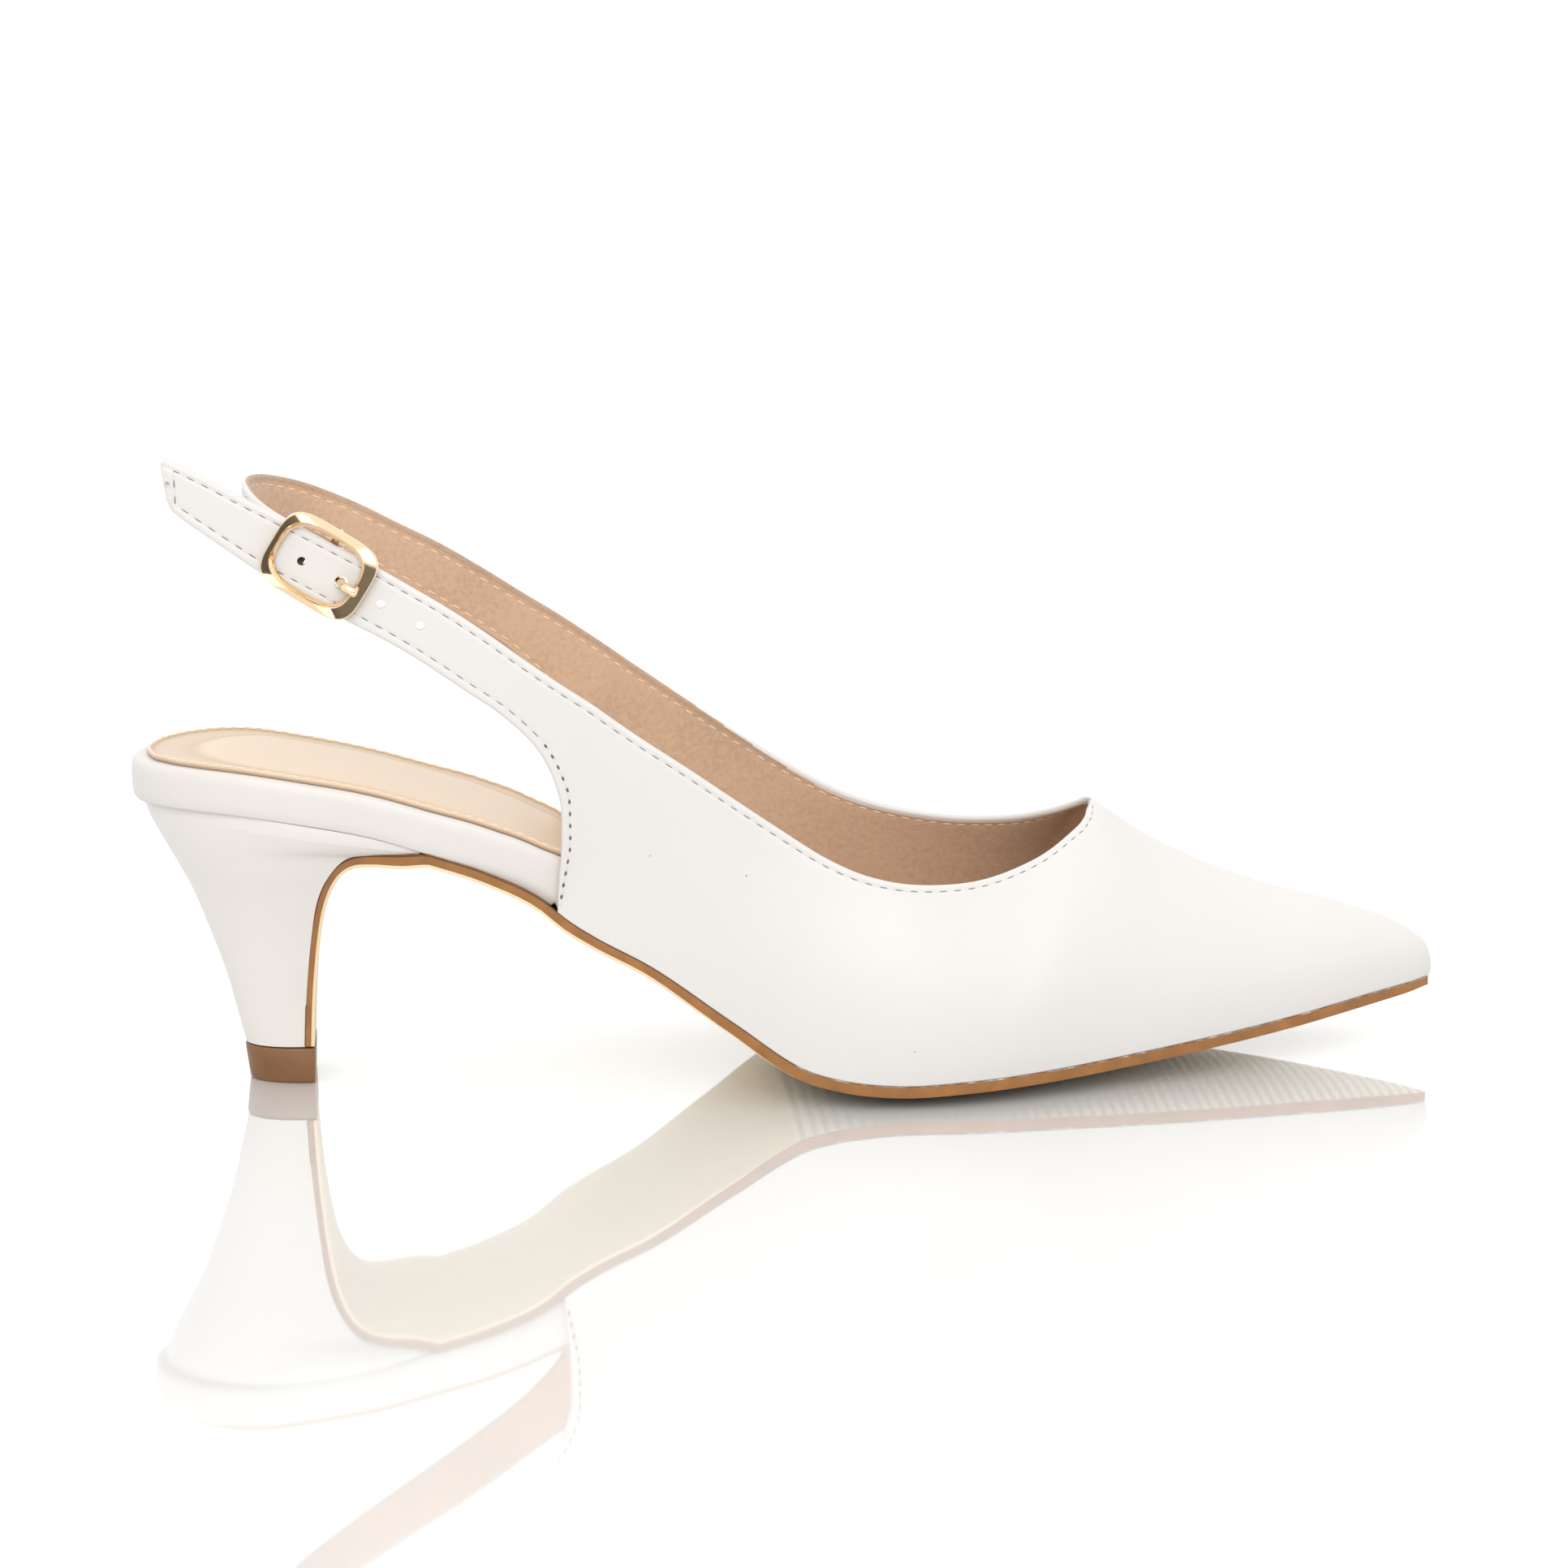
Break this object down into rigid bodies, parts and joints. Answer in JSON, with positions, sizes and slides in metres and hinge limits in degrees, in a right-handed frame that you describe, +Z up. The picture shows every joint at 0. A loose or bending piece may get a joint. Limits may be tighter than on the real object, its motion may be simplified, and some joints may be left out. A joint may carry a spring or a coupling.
{
  "type": "slingback court shoe",
  "caption": "Pointed slingback court shoe for the right foot: hollow upper with a buckled heel strap, padded sock, thin cambered outsole and a covered flared heel on a wearing piece.",
  "frame": {"origin": "on the floor, below the middle of the box round the whole shoe", "axes": "+X to the toe, +Y to the inner side of the foot, +Z up"},
  "size_m": [0.2494, 0.0772, 0.1216],
  "materials": {
    "upper_leather": "smooth white leather, soft satin shine, pinkish tan suede lining inside",
    "footbed_wrap": "smooth white covering, satin",
    "sock": "pale beige padded sock with a stitched edge, satin",
    "outsole": "tan sheet, fine cross ribs under the forefoot, semi-matt",
    "heel_cover": "smooth white covering, satin",
    "top_piece": "brown wearing piece, semi-matt",
    "buckle_metal": "polished pale gold plate"
  },
  "bodies": {
    "root": {"upper": "upper_leather", "footbed": "footbed_wrap", "insole_sock": "sock", "outsole": "outsole", "heel": "heel_cover", "top_piece": "top_piece", "buckle_frame": "buckle_metal", "buckle_prong": "buckle_metal"}
  },
  "joints": []
}
